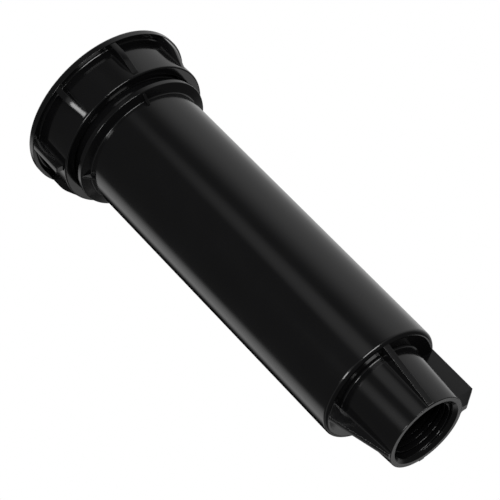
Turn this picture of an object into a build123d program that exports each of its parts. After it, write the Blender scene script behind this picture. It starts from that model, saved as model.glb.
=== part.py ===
from build123d import *
import os

# Pop-up spray sprinkler, shown retracted: case, cap, seal, spring, ratchet, riser and nozzle.
# Millimetres. The origin is the centre of the inlet's mouth and +Z runs up the riser's
# axis, towards the cap. The inlet, cap and nozzle threads are plain walls.

# Case: a deep moulded tube with a tapped inlet below and a threaded neck above.
CASE_R = 20.0
CASE_BORE_R = 18.0
CASE_FLOOR_Z = 19.8
CASE_FLOOR_TOP_Z = 22.0
CASE_CORNER = 1.5
INLET_R = 10.6
INLET_END_Z = 15.4
MOUTH_CHAMFER = 0.7
BOSS_MOUTH_R = 13.1
BOSS_ROOT_R = 14.3
VALVE_HOLE_R = 9.2
VALVE_SEAT_R = 11.0
VALVE_SEAT_Z = 23.0
COLLAR_R = 23.2
COLLAR_Z = 133.0
COLLAR_TOP_Z = 134.8
NECK_R = 21.4
NECK_BORE_R = 19.2
NECK_TOP_Z = 147.0

# Webs of the case: gussets and a fin beside the inlet, brackets under the collar,
# and the guide ribs inside that key the ratchet.
GUSSET_THICKNESS = 1.5
GUSSET_FOOT_R = 13.5
GUSSET_TOP_R = 19.0
FIN_THICKNESS = 2.0
FIN_HEEL_R = 15.0
FIN_SHOULDER_Z = 3.4
BRACKET_THICKNESS = 1.0
BRACKET_DROP = 3.0
WEB_ROOT_R = 12.4
GUIDE_RIBS = 4
GUIDE_RIB_R = 16.6
GUIDE_RIB_WIDTH = 1.6
GUIDE_RIB_TOP_Z = 141.0
GUIDE_RIB_START = 45.0

# Cap: a flange that lies flush with the ground, with a ribbed threaded skirt.
FLANGE_R = 28.5
FLANGE_TOP_Z = 152.9
FLANGE_PLATE = 1.2
FLANGE_RIM = 2.3
RIM_WALL = 1.3
CAP_OPENING_R = 12.1
CAP_LIP = 2.0
DISH = 0.35
SKIRT_BORE_R = 22.6
SKIRT_TOP_R = 24.3
SKIRT_FOOT_R = 25.7
SKIRT_FOOT_Z = 137.5
CAP_RIBS = 8
CAP_RIB_WIDTH = 2.0
CAP_RIB_START = 3.0
CAP_RIB_R = FLANGE_R - 0.2
CAP_RIB_SHOULDER_Z = 145.2
CAP_RIB_FOOT_Z = SKIRT_FOOT_Z + 0.9
DEEP_RIB = 4

# Riser: a tube that slides up through the wiper seal.
RISER_R = 8.0
RISER_BORE_R = 6.1
RISER_FOOT_Z = 24.9
RISER_TOP_Z = 150.0
SPIGOT_R = 6.9
SPIGOT_Z = 144.0

# Ratchet: toothed foot on the riser, and a keyed ring above it.
TEETH = 24
TOOTH_HEIGHT = 0.9
TOOTH_BASE = 2.8
TOOTH_SINK = 0.3
TEETH_INNER_R = 11.4
TEETH_OUTER_R = 15.0
FOOT_R = TEETH_OUTER_R + 0.2
FOOT_TOP_Z = 28.0
RING_PLATE_Z = 29.9
RING_SEAT_Z = 31.0
RING_R = 17.6
RING_WALL = 1.2
RING_HUB_R = RISER_R + 1.6
RING_BORE_R = RISER_R + 0.2

# Spring: from the ratchet ring up to the seat ring under the seal.
SPRING_MEAN_R = 13.2
SPRING_WIRE_R = 0.55
SPRING_COILS = 12
SEAT_RING_Z = 145.6
SEAT_RING_R = 11.5
SEAT_LIP_R = 14.3
SEAT_LIP_DEPTH = 1.2

# Wiper seal: its flange is clamped under the cap and its lip rubs on the riser.
SEAL_FLANGE_R = NECK_R - 0.5
SEAL_FLANGE_Z = 148.3
SEAL_FLANGE_TOP_Z = 150.4
SEAL_NECK_R = 11.2
SEAL_RIM_GAP = 0.3
LIP_Z = 141.7
LIP_TOP_Z = 142.6

# Check valve in the riser's foot.
CHECK_PLUG_R = 8.6
CHECK_BORE_R = 4.4
CHECK_SEAL_R = 11.6
CHECK_SEAL_BORE_R = 7.4
CHECK_PLUG_Z = CASE_FLOOR_TOP_Z + 0.3

# Filter: a basket that hangs in the top of the riser, lined with a screen.
FILTER_R = 5.6
FILTER_BORE_R = 4.9
FILTER_FOOT_Z = 118.6
FILTER_FLOOR = 1.8
HOOP_Z = 132.5
SCREEN_R = 4.8
SCREEN_WALL = 0.3
SCREEN_TOP_Z = 146.0

# Nozzle: threaded base, turning arc collar, deflector and radius screw.
NOZZLE_R = RISER_R
NOZZLE_FOOT_Z = 144.4
NOZZLE_WEB_Z = 150.95
NOZZLE_WEB = 1.2
NOZZLE_TOP_Z = 156.0
STUB_R = 6.2
STUB_WALL = 0.9
STUB_TOP_Z = NOZZLE_WEB_Z + 2.4
COLLAR_RING_TOP_Z = 154.5
HUB_R = 3.6
PLATE_R = NOZZLE_R - 0.3
SCREW_R = 1.25
SCREW_HEAD_R = 2.1
SCREW_HEAD = 0.75
SCREW_TIP_R = 2.2
SCREW_FOOT_Z = 142.0
RUNNING_GAP = 0.1


def outline_face(corners):
    """Face in the XZ plane from (r, z) or (r, z, fillet radius) corners."""
    points = [(corner[0], 0, corner[1]) for corner in corners]
    radii = [corner[2] if len(corner) > 2 else 0 for corner in corners]
    return make_face(FilletPolyline(*points, radius=radii, close=True))


def turned(*corners):
    """Solid of revolution about Z."""
    return revolve(outline_face(corners), Axis.Z)


def web(thickness, angle, *corners):
    """Flat plate that stands radially at an angle about Z."""
    plate = extrude(outline_face(corners), amount=thickness / 2, both=True)
    return Rot(0, 0, angle) * plate


def around(count, start=0.0):
    """Evenly spaced angles about Z, in degrees."""
    return [start + index * 360.0 / count for index in range(count)]


def single(shape):
    """The one solid of a finished shape."""
    return shape.solid()


def case_shell():
    """Wall of the case: inlet boss, floor with the valve's hole, tube, collar and neck."""
    return turned(
        (INLET_R + MOUTH_CHAMFER, 0.0),
        (BOSS_MOUTH_R, 0.0, 0.3),
        (BOSS_ROOT_R, CASE_FLOOR_Z, 0.6),
        (CASE_R, CASE_FLOOR_Z, CASE_CORNER),
        (CASE_R, COLLAR_Z - 0.9, 0.5),
        (COLLAR_R, COLLAR_Z, 0.4),
        (COLLAR_R, COLLAR_TOP_Z, 0.4),
        (NECK_R, COLLAR_TOP_Z, 0.4),
        (NECK_R, NECK_TOP_Z, 0.5),
        (NECK_BORE_R, NECK_TOP_Z, 0.3),
        (NECK_BORE_R, COLLAR_TOP_Z + 1.2),
        (CASE_BORE_R, COLLAR_Z),
        (CASE_BORE_R, CASE_FLOOR_TOP_Z, 1.0),
        (VALVE_SEAT_R + 0.4, CASE_FLOOR_TOP_Z),
        (VALVE_SEAT_R, VALVE_SEAT_Z, 0.2),
        (VALVE_HOLE_R, VALVE_SEAT_Z, 0.2),
        (VALVE_HOLE_R, INLET_END_Z + INLET_R - VALVE_HOLE_R),
        (INLET_R, INLET_END_Z),
        (INLET_R, MOUTH_CHAMFER),
    )


def inlet_gusset(angle):
    """Tapered web from the case's floor down to the inlet's mouth."""
    return web(
        GUSSET_THICKNESS,
        angle,
        (WEB_ROOT_R, 0.4),
        (GUSSET_FOOT_R, 0.4),
        (GUSSET_TOP_R, CASE_FLOOR_Z + 0.2),
        (GUSSET_TOP_R, CASE_FLOOR_Z + 1.0),
        (WEB_ROOT_R, CASE_FLOOR_Z + 1.0),
    )


def square_fin():
    """Full-width web on the +X side, with a cut corner at the mouth."""
    return web(
        FIN_THICKNESS,
        0.0,
        (WEB_ROOT_R, 0.05),
        (FIN_HEEL_R, 0.05),
        (CASE_R - 0.05, FIN_SHOULDER_Z),
        (CASE_R - 0.05, CASE_FLOOR_Z + 1.8),
        (WEB_ROOT_R, CASE_FLOOR_Z + 0.6),
    )


def collar_bracket(angle):
    """Small web that holds up the collar."""
    return web(
        BRACKET_THICKNESS,
        angle,
        (NECK_BORE_R, COLLAR_Z + 0.5),
        (COLLAR_R - 0.4, COLLAR_Z + 0.5),
        (COLLAR_R - 0.4, COLLAR_Z - 0.2),
        (CASE_R + 0.2, COLLAR_Z - BRACKET_DROP),
        (NECK_BORE_R, COLLAR_Z - BRACKET_DROP),
    )


def guide_rib(angle):
    """Long rib inside the tube, which keeps the ratchet ring from turning."""
    return web(
        GUIDE_RIB_WIDTH,
        angle,
        (GUIDE_RIB_R, CASE_FLOOR_TOP_Z - 0.5),
        (NECK_BORE_R + 0.4, CASE_FLOOR_TOP_Z - 0.5),
        (NECK_BORE_R + 0.4, GUIDE_RIB_TOP_Z),
        (GUIDE_RIB_R + 0.8, GUIDE_RIB_TOP_Z),
        (GUIDE_RIB_R, GUIDE_RIB_TOP_Z - 2.0),
    )


def case():
    """One moulding: the shell with its webs outside and its guide ribs inside."""
    body = case_shell() + square_fin()
    for angle in (90.0, 180.0, 270.0):
        body += inlet_gusset(angle)
    for angle in around(4):
        body += collar_bracket(angle)
    for angle in around(GUIDE_RIBS, GUIDE_RIB_START):
        body += guide_rib(angle)
    return single(body)


def cap():
    """Flange with a down-turned rim, threaded skirt and grip ribs."""
    plate_z = FLANGE_TOP_Z - FLANGE_PLATE
    rim_z = FLANGE_TOP_Z - FLANGE_RIM
    dish_z = FLANGE_TOP_Z - DISH
    shell = turned(
        (CAP_OPENING_R, FLANGE_TOP_Z - 2 * FLANGE_PLATE),
        (SKIRT_BORE_R, FLANGE_TOP_Z - 2 * FLANGE_PLATE, 0.8),
        (SKIRT_BORE_R, SKIRT_FOOT_Z, 0.4),
        (SKIRT_FOOT_R, SKIRT_FOOT_Z, 0.5),
        (SKIRT_TOP_R, plate_z, 0.5),
        (FLANGE_R - RIM_WALL, plate_z, 0.3),
        (FLANGE_R - RIM_WALL, rim_z, 0.2),
        (FLANGE_R, rim_z, 0.3),
        (FLANGE_R, FLANGE_TOP_Z, 0.7),
        (FLANGE_R - 2.4, FLANGE_TOP_Z, 0.6),
        (FLANGE_R - 3.2, dish_z, 0.6),
        (CAP_OPENING_R + CAP_LIP + 0.6, dish_z, 0.5),
        (CAP_OPENING_R + CAP_LIP, FLANGE_TOP_Z, 0.4),
        (CAP_OPENING_R, FLANGE_TOP_Z, 0.4),
    )
    for index, angle in enumerate(around(CAP_RIBS, CAP_RIB_START)):
        foot_r = CAP_RIB_R if index == DEEP_RIB else SKIRT_FOOT_R
        shoulder_round = 0.0 if index == DEEP_RIB else 10.0
        shell += web(
            CAP_RIB_WIDTH,
            angle,
            (SKIRT_BORE_R + 1.0, plate_z + 0.2),
            (CAP_RIB_R, plate_z + 0.2),
            (CAP_RIB_R, CAP_RIB_SHOULDER_Z, shoulder_round),
            (foot_r, CAP_RIB_FOOT_Z),
            (SKIRT_BORE_R + 1.0, CAP_RIB_FOOT_Z),
        )
    return single(shell)


def wiper_seal():
    """Soft seal: clamped flange, rim that shows in the cap and a lip on the riser."""
    lip_r = RISER_R + RUNNING_GAP
    cup_r = NOZZLE_R + 0.5
    rim_top_z = FLANGE_TOP_Z - 0.2
    return turned(
        (SEAL_FLANGE_R, SEAL_FLANGE_Z),
        (SEAL_FLANGE_R, SEAL_FLANGE_TOP_Z),
        (CAP_OPENING_R - SEAL_RIM_GAP, SEAL_FLANGE_TOP_Z),
        (CAP_OPENING_R - SEAL_RIM_GAP, rim_top_z, 0.4),
        (cup_r, rim_top_z, 0.4),
        (cup_r, LIP_TOP_Z + 1.6, 0.5),
        (lip_r, LIP_TOP_Z, 0.3),
        (lip_r, LIP_Z),
        (lip_r + 0.9, LIP_Z - 0.6, 0.3),
        (SEAL_NECK_R, LIP_Z + 1.9, 0.5),
        (SEAL_NECK_R, SEAL_FLANGE_Z),
    )


def spring_seat_ring():
    """Rigid ring that hangs in the neck, backs the seal and takes the spring's thrust."""
    hang_r = NECK_BORE_R - 0.4
    lip_foot_z = SEAT_RING_Z - SEAT_LIP_DEPTH
    return turned(
        (SEAT_RING_R, SEAT_RING_Z),
        (SEAT_LIP_R, SEAT_RING_Z),
        (SEAT_LIP_R, lip_foot_z, 0.2),
        (SEAT_LIP_R + 1.1, lip_foot_z, 0.2),
        (SEAT_LIP_R + 1.1, SEAT_RING_Z, 0.2),
        (hang_r, SEAT_RING_Z, 0.3),
        (hang_r, NECK_TOP_Z + 0.2),
        (SEAL_FLANGE_R, NECK_TOP_Z + 0.2),
        (SEAL_FLANGE_R, SEAL_FLANGE_Z - RUNNING_GAP),
        (SEAT_RING_R, SEAL_FLANGE_Z - RUNNING_GAP),
    )


def retraction_spring():
    """Open-coil compression spring, as fitted with the riser down."""
    low = RING_SEAT_Z + SPRING_WIRE_R + 0.05
    high = SEAT_RING_Z - SPRING_WIRE_R - 0.05
    path = Helix(pitch=(high - low) / SPRING_COILS, height=high - low, radius=SPRING_MEAN_R)
    wire = Plane(origin=path @ 0, z_dir=path % 0) * RegularPolygon(SPRING_WIRE_R, 6)
    return Pos(0, 0, low) * single(sweep(wire, path, is_frenet=True))


def riser_stem():
    """Riser tube with a reduced spigot for the nozzle's thread."""
    return turned(
        (RISER_BORE_R, RISER_FOOT_Z, 0.3),
        (RISER_R, RISER_FOOT_Z),
        (RISER_R, SPIGOT_Z, 0.4),
        (SPIGOT_R, SPIGOT_Z, 0.2),
        (SPIGOT_R, RISER_TOP_Z, 0.3),
        (RISER_BORE_R, RISER_TOP_Z),
    )


def ratchet_teeth(base_z, height, start):
    """Ring of wedge teeth on a level; a negative height makes them point down."""
    middle = (TEETH_INNER_R + TEETH_OUTER_R) / 2
    length = TEETH_OUTER_R - TEETH_INNER_R
    root_z = base_z - TOOTH_SINK if height > 0 else base_z + TOOTH_SINK
    profile = Plane.YZ * make_face(
        Polyline(
            (-TOOTH_BASE / 2, root_z),
            (TOOTH_BASE / 2, root_z),
            (TOOTH_BASE / 2, base_z),
            (0, base_z + height),
            (-TOOTH_BASE / 2, base_z),
            close=True,
        )
    )
    tooth = Pos(middle, 0, 0) * extrude(profile, amount=length / 2, both=True)
    return [Rot(0, 0, angle) * tooth for angle in around(TEETH, start)]


def riser_foot():
    """Lower ratchet half, fixed on the riser, with its teeth upwards."""
    foot = turned(
        (RISER_R, RISER_FOOT_Z),
        (FOOT_R, RISER_FOOT_Z, 0.5),
        (FOOT_R, FOOT_TOP_Z),
        (RISER_R, FOOT_TOP_Z),
    )
    for tooth in ratchet_teeth(FOOT_TOP_Z, TOOTH_HEIGHT, 0.0):
        foot += tooth
    return single(foot)


def ratchet_ring():
    """Upper ratchet half: keyed on the case's ribs, and the spring stands on it."""
    ring = turned(
        (RING_BORE_R, RING_PLATE_Z - 0.6),
        (RING_HUB_R, RING_PLATE_Z - 0.6),
        (RING_HUB_R, RING_PLATE_Z),
        (RING_R - RING_WALL, RING_PLATE_Z),
        (RING_R - RING_WALL, RING_PLATE_Z - 1.4),
        (RING_R, RING_PLATE_Z - 1.4, 0.3),
        (RING_R, RING_SEAT_Z + 3.0, 0.3),
        (RING_R - RING_WALL, RING_SEAT_Z + 3.0),
        (RING_R - RING_WALL, RING_SEAT_Z),
        (RING_HUB_R, RING_SEAT_Z),
        (RING_HUB_R, RING_SEAT_Z + 3.4, 0.4),
        (RING_BORE_R, RING_SEAT_Z + 3.4),
    )
    half_pitch = 180.0 / TEETH
    for tooth in ratchet_teeth(RING_PLATE_Z, -TOOTH_HEIGHT, half_pitch):
        ring += tooth
    for angle in around(GUIDE_RIBS, GUIDE_RIB_START):
        ring -= web(
            GUIDE_RIB_WIDTH + 0.8,
            angle,
            (GUIDE_RIB_R - 0.4, RING_PLATE_Z - 3.0),
            (RING_R + 1.0, RING_PLATE_Z - 3.0),
            (RING_R + 1.0, RING_SEAT_Z + 5.0),
            (GUIDE_RIB_R - 0.4, RING_SEAT_Z + 5.0),
        )
    return single(ring)


def check_seal():
    """Rubber washer that closes on the valve seat when the water is off."""
    foot_z = VALVE_SEAT_Z + RUNNING_GAP
    return turned(
        (CHECK_SEAL_BORE_R, foot_z, 0.2),
        (CHECK_SEAL_R, foot_z, 0.4),
        (CHECK_SEAL_R, RISER_FOOT_Z),
        (CHECK_SEAL_BORE_R, RISER_FOOT_Z),
    )


def check_retainer():
    """Flanged plug in the foot of the riser that holds the check seal up."""
    shoulder_z = VALVE_SEAT_Z + RUNNING_GAP
    plug = turned(
        (CHECK_BORE_R, CHECK_PLUG_Z, 0.3),
        (CHECK_PLUG_R, CHECK_PLUG_Z, 0.4),
        (CHECK_PLUG_R, shoulder_z),
        (RISER_BORE_R, shoulder_z),
        (RISER_BORE_R, FOOT_TOP_Z + 1.0, 0.6),
        (CHECK_BORE_R, FOOT_TOP_Z + 1.0),
    )
    bar = Pos(0, 0, CHECK_PLUG_Z + 1.0) * Box(2 * CHECK_BORE_R + 0.8, 1.2, 2.0)
    for angle in (0.0, 90.0):
        plug += Rot(0, 0, angle) * bar
    return single(plug)


def filter_frame():
    """Basket that hangs in the top of the riser: flange, bars, hoop and closed foot."""
    floor_z = FILTER_FOOT_Z + FILTER_FLOOR
    basket = turned(
        (SCREEN_R - 0.2, SCREEN_TOP_Z),
        (FILTER_R, SCREEN_TOP_Z),
        (FILTER_R, RISER_TOP_Z),
        (SPIGOT_R, RISER_TOP_Z),
        (SPIGOT_R, RISER_TOP_Z + 0.9),
        (SCREEN_R - 0.2, RISER_TOP_Z + 0.9),
    )
    basket += turned((0, FILTER_FOOT_Z), (5.0, FILTER_FOOT_Z, 0.6), (FILTER_R, floor_z), (0, floor_z))
    basket += turned(
        (FILTER_BORE_R, HOOP_Z),
        (FILTER_R, HOOP_Z),
        (FILTER_R, HOOP_Z + 1.0),
        (FILTER_BORE_R, HOOP_Z + 1.0),
    )
    for angle in around(4, 45.0):
        basket += web(
            1.2,
            angle,
            (FILTER_BORE_R, FILTER_FOOT_Z + 1.0),
            (FILTER_R, FILTER_FOOT_Z + 1.0),
            (FILTER_R, SCREEN_TOP_Z + 1.0),
            (FILTER_BORE_R, SCREEN_TOP_Z + 1.0),
        )
    return single(basket)


def filter_mesh():
    """Fine screen sleeve inside the basket's bars."""
    foot_z = FILTER_FOOT_Z + FILTER_FLOOR + 0.05
    return turned(
        (SCREEN_R - SCREEN_WALL, foot_z),
        (SCREEN_R, foot_z),
        (SCREEN_R, SCREEN_TOP_Z - 0.05),
        (SCREEN_R - SCREEN_WALL, SCREEN_TOP_Z - 0.05),
    )


def nozzle_base():
    """Threaded skirt, web with three water slots, and the stub that the collar turns on."""
    hole_r = SCREW_R + RUNNING_GAP
    web_top_z = NOZZLE_WEB_Z + NOZZLE_WEB
    shoulder_z = web_top_z - RUNNING_GAP
    base = turned(
        (hole_r, NOZZLE_WEB_Z),
        (SPIGOT_R + 0.3, NOZZLE_WEB_Z),
        (SPIGOT_R + 0.3, NOZZLE_FOOT_Z, 0.3),
        (NOZZLE_R, NOZZLE_FOOT_Z, 0.4),
        (NOZZLE_R, shoulder_z, 0.2),
        (STUB_R, shoulder_z),
        (STUB_R, STUB_TOP_Z, 0.2),
        (STUB_R - STUB_WALL, STUB_TOP_Z, 0.2),
        (STUB_R - STUB_WALL, web_top_z),
        (hole_r, web_top_z),
    )
    slot = Rectangle(1.4, 3.4)
    for angle in around(3):
        cutter = Pos(4.5, 0, NOZZLE_WEB_Z - 0.5) * extrude(slot, amount=NOZZLE_WEB + 0.8)
        base -= Rot(0, 0, angle) * cutter
    return single(base)


def arc_collar():
    """Ring that is turned by hand to set the arc of the spray."""
    foot_z = NOZZLE_WEB_Z + NOZZLE_WEB + RUNNING_GAP
    return turned(
        (STUB_R + RUNNING_GAP, foot_z),
        (NOZZLE_R, foot_z, 0.3),
        (NOZZLE_R, COLLAR_RING_TOP_Z, 0.5),
        (STUB_R + 0.6, COLLAR_RING_TOP_Z - 0.4),
        (STUB_R + RUNNING_GAP, COLLAR_RING_TOP_Z - 0.9),
    )


def nozzle_deflector():
    """Hub on the base's web with a flared plate that throws the water outwards."""
    hole_r = SCREW_R + RUNNING_GAP
    foot_z = NOZZLE_WEB_Z + NOZZLE_WEB
    well_r = SCREW_HEAD_R + 0.2
    well_z = NOZZLE_TOP_Z - SCREW_HEAD - 0.15
    return turned(
        (hole_r, foot_z),
        (HUB_R, foot_z),
        (HUB_R, 153.8, 0.6),
        (PLATE_R, NOZZLE_TOP_Z - 1.1),
        (PLATE_R, NOZZLE_TOP_Z, 0.4),
        (well_r, NOZZLE_TOP_Z),
        (well_r, well_z),
        (hole_r, well_z),
    )


def radius_screw():
    """Slotted steel screw down the nozzle's middle, with a throttling tip."""
    top_z = NOZZLE_TOP_Z - 0.1
    head_z = top_z - SCREW_HEAD
    tip_z = SCREW_FOOT_Z + 1.2
    screw = turned(
        (0, SCREW_FOOT_Z),
        (1.0, SCREW_FOOT_Z),
        (SCREW_TIP_R, tip_z, 0.2),
        (SCREW_TIP_R, tip_z + 0.8),
        (SCREW_R, tip_z + 1.2),
        (SCREW_R, head_z),
        (SCREW_HEAD_R, head_z),
        (SCREW_HEAD_R, top_z, 0.2),
        (0, top_z),
    )
    slot = Pos(0, 0, top_z) * Box(5.0, 0.6, 0.9)
    return single(screw - slot)


NODES = {
    "case": case,
    "cap": cap,
    "wiper_seal": wiper_seal,
    "spring_seat_ring": spring_seat_ring,
    "retraction_spring": retraction_spring,
    "riser_stem": riser_stem,
    "riser_foot": riser_foot,
    "ratchet_ring": ratchet_ring,
    "check_seal": check_seal,
    "check_retainer": check_retainer,
    "filter_frame": filter_frame,
    "filter_mesh": filter_mesh,
    "nozzle_base": nozzle_base,
    "arc_collar": arc_collar,
    "nozzle_deflector": nozzle_deflector,
    "radius_screw": radius_screw,
}

os.makedirs("parts", exist_ok=True)
for node, build in NODES.items():
    export_step(build(), f"parts/{node}.step")
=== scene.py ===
import math

import bmesh
import bpy
from mathutils import Matrix, Vector


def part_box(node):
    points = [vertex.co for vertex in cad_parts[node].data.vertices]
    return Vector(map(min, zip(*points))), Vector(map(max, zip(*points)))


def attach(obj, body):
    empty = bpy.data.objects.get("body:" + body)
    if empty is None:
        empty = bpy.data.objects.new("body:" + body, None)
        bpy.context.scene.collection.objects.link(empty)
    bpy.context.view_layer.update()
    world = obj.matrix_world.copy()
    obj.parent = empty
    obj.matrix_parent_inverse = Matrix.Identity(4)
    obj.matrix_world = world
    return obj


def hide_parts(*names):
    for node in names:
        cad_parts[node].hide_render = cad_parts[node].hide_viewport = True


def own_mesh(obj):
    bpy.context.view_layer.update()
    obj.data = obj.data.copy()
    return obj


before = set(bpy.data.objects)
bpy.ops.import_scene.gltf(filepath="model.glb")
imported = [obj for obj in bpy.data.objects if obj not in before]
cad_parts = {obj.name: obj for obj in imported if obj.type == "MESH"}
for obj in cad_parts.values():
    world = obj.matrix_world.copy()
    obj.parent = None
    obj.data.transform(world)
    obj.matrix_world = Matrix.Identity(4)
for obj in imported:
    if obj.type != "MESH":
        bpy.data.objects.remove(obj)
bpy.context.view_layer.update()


# Camera: it looks up at the sprinkler from below the inlet, and is rolled so that the
# case runs from the upper left to the lower right. Nothing is out of focus.
camera_azimuth = math.radians(-118.0)
camera_elevation = math.radians(-28.56)
camera_roll = math.radians(-44.49)
camera_distance = 0.7072
camera_aim = Vector((0.0005, -0.0003, 0.0806))

toward_camera = Vector((
    math.cos(camera_azimuth) * math.cos(camera_elevation),
    math.sin(camera_azimuth) * math.cos(camera_elevation),
    math.sin(camera_elevation),
))
camera_data = bpy.data.cameras.new("camera")
camera_data.sensor_width = 36.0
camera_data.lens = 172.8
camera_data.clip_start = 0.01
camera_data.clip_end = 200.0
camera = bpy.data.objects.new("camera", camera_data)
bpy.context.collection.objects.link(camera)
camera.rotation_mode = "QUATERNION"
upright = (-toward_camera).to_track_quat("-Z", "Y").to_matrix()
camera.rotation_quaternion = (upright @ Matrix.Rotation(camera_roll, 3, "Z")).to_quaternion()
camera.location = camera_aim + toward_camera * camera_distance
bpy.context.scene.camera = camera
bpy.context.scene.view_settings.view_transform = "Standard"


# Studio surround: white behind the sprinkler, but dim walls in its reflections. These hold
# a wide soft panel with a faint one by its edge, a narrower one beyond a dark flag, two
# small ones on the camera's side and one overhead.
world = bpy.data.worlds.new("studio")
bpy.context.scene.world = world
world.use_nodes = True
sky = world.node_tree
sky.nodes.clear()
gaze = sky.nodes.new("ShaderNodeTexCoord").outputs["Generated"]


def toward(azimuth, elevation):
    """Unit vector from the sprinkler at an azimuth from +X and an elevation, in degrees."""
    a, e = math.radians(azimuth), math.radians(elevation)
    return Vector((math.cos(a) * math.cos(e), math.sin(a) * math.cos(e), math.sin(e)))


def panel(azimuth, elevation, core, edge, level):
    """Round patch of the surround that fades from its core to its edge, in degrees."""
    dot = sky.nodes.new("ShaderNodeVectorMath")
    dot.operation = "DOT_PRODUCT"
    dot.inputs[1].default_value = toward(azimuth, elevation)
    sky.links.new(gaze, dot.inputs[0])
    fade = sky.nodes.new("ShaderNodeMapRange")
    fade.interpolation_type = "SMOOTHSTEP"
    fade.inputs["From Min"].default_value = math.cos(math.radians(edge))
    fade.inputs["From Max"].default_value = math.cos(math.radians(core))
    fade.inputs["To Max"].default_value = level
    sky.links.new(dot.outputs["Value"], fade.inputs["Value"])
    return fade.outputs["Result"]


def sky_math(operation, a, b):
    """Math node of the surround, on sockets or numbers."""
    node = sky.nodes.new("ShaderNodeMath")
    node.operation = operation
    for value, socket in ((a, node.inputs[0]), (b, node.inputs[1])):
        if isinstance(value, (int, float)):
            socket.default_value = value
        else:
            sky.links.new(value, socket)
    return node.outputs[0]


wall_level = 0.08
surround = wall_level
for azimuth, elevation, core, edge, level in (
    (0.0, 25.0, 25.0, 66.0, 0.50),
    (38.0, 28.0, 6.0, 22.0, 0.16),
    (112.0, 28.0, 8.0, 26.0, 0.74),
    (-97.0, 19.0, 4.0, 17.0, 0.42),
    (-144.0, 4.0, 5.0, 22.0, 0.50),
    (0.0, 90.0, 10.0, 40.0, 0.70),
):
    surround = sky_math("ADD", panel(azimuth, elevation, core, edge, level), surround)
flag = sky_math("SUBTRACT", 1.0, panel(80.0, 28.0, 10.0, 27.0, 0.98))
surround = sky_math("MULTIPLY", surround, flag)
path = sky.nodes.new("ShaderNodeLightPath")
backdrop = sky.nodes.new("ShaderNodeMix")
backdrop.data_type = "FLOAT"
backdrop.inputs["B"].default_value = 1.0
sky.links.new(path.outputs["Is Camera Ray"], backdrop.inputs["Factor"])
sky.links.new(surround, backdrop.inputs["A"])
glow = sky.nodes.new("ShaderNodeBackground")
glow.inputs["Color"].default_value = (1.0, 1.0, 1.0, 1.0)
sky.links.new(backdrop.outputs["Result"], glow.inputs["Strength"])
outlet = sky.nodes.new("ShaderNodeOutputWorld")
sky.links.new(glow.outputs["Background"], outlet.inputs["Surface"])


# Lamps: a tall soft box on each side of the camera, which draws a bright line along every
# rounded edge and on the slanted face of a cap rib, and a dim one low behind the sprinkler,
# which shows in the end of the inlet.
lamp_distance = 0.95
for name, azimuth, elevation, width, height, radiance in (
    ("lamp_right", -90.0, -24.0, 0.50, 0.30, 8.5),
    ("lamp_left", -145.0, -8.0, 0.22, 0.40, 9.0),
    ("lamp_behind", 69.0, -34.0, 0.46, 0.28, 0.60),
):
    lamp_data = bpy.data.lights.new(name, "AREA")
    lamp_data.shape = "RECTANGLE"
    lamp_data.size = width
    lamp_data.size_y = height
    lamp_data.energy = radiance * math.pi * width * height
    lamp = bpy.data.objects.new(name, lamp_data)
    bpy.context.collection.objects.link(lamp)
    lamp.location = camera_aim + toward(azimuth, elevation) * lamp_distance
    lamp.rotation_euler = toward(azimuth, elevation).to_track_quat("Z", "Y").to_euler()
    lamp.visible_camera = False


# Floor: a plain pale sheet far below the sprinkler. To the camera it glows evenly pale all over, but in
# reflections it is a dark sheet close by, which is painted shade, and it glows brighter far off, which is
# painted light, so that undersides stay black.
floor_z = -1.6
floor_half = 60.0
dark_tone, pale_tone = 0.12, 0.80
far_glow, seen_glow = 0.22, 0.45
dark_reach, bright_reach = 3.5, 7.5
floor_mesh = bpy.data.meshes.new("floor")
floor_mesh.from_pydata(
    [(x * floor_half, y * floor_half, floor_z) for x, y in ((-1, -1), (1, -1), (1, 1), (-1, 1))],
    [], [(0, 1, 2, 3)],
)
floor = bpy.data.objects.new("floor", floor_mesh)
bpy.context.collection.objects.link(floor)
floor_paint = bpy.data.materials.new("floor_paint")
floor_paint.use_nodes = True
paint = floor_paint.node_tree
floor_shader = paint.nodes["Principled BSDF"]
floor_shader.inputs["Roughness"].default_value = 0.9
floor_shader.inputs["Emission Color"].default_value = (1.0, 1.0, 1.0, 1.0)
# Only in reflections: a dark base colour as painted shade, and emission that rises with distance as
# painted light.
floor_seen = paint.nodes.new("ShaderNodeLightPath").outputs["Is Camera Ray"]
floor_tone = paint.nodes.new("ShaderNodeMix")
floor_tone.data_type = "RGBA"
floor_tone.inputs[6].default_value = (dark_tone, dark_tone, dark_tone, 1.0)
floor_tone.inputs[7].default_value = (pale_tone, pale_tone, pale_tone, 1.0)
paint.links.new(floor_seen, floor_tone.inputs["Factor"])
paint.links.new(floor_tone.outputs[2], floor_shader.inputs["Base Color"])
floor_reach = paint.nodes.new("ShaderNodeVectorMath")
floor_reach.operation = "LENGTH"
paint.links.new(paint.nodes.new("ShaderNodeTexCoord").outputs["Object"], floor_reach.inputs[0])
floor_far = paint.nodes.new("ShaderNodeMapRange")
floor_far.interpolation_type = "SMOOTHSTEP"
floor_far.inputs["From Min"].default_value = dark_reach
floor_far.inputs["From Max"].default_value = bright_reach
floor_far.inputs["To Max"].default_value = far_glow
paint.links.new(floor_reach.outputs["Value"], floor_far.inputs["Value"])
floor_glow = paint.nodes.new("ShaderNodeMix")
floor_glow.data_type = "FLOAT"
floor_glow.inputs["B"].default_value = seen_glow
paint.links.new(floor_seen, floor_glow.inputs["Factor"])
paint.links.new(floor_far.outputs["Result"], floor_glow.inputs["A"])
paint.links.new(floor_glow.outputs["Result"], floor_shader.inputs["Emission Strength"])
floor_mesh.materials.append(floor_paint)


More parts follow.
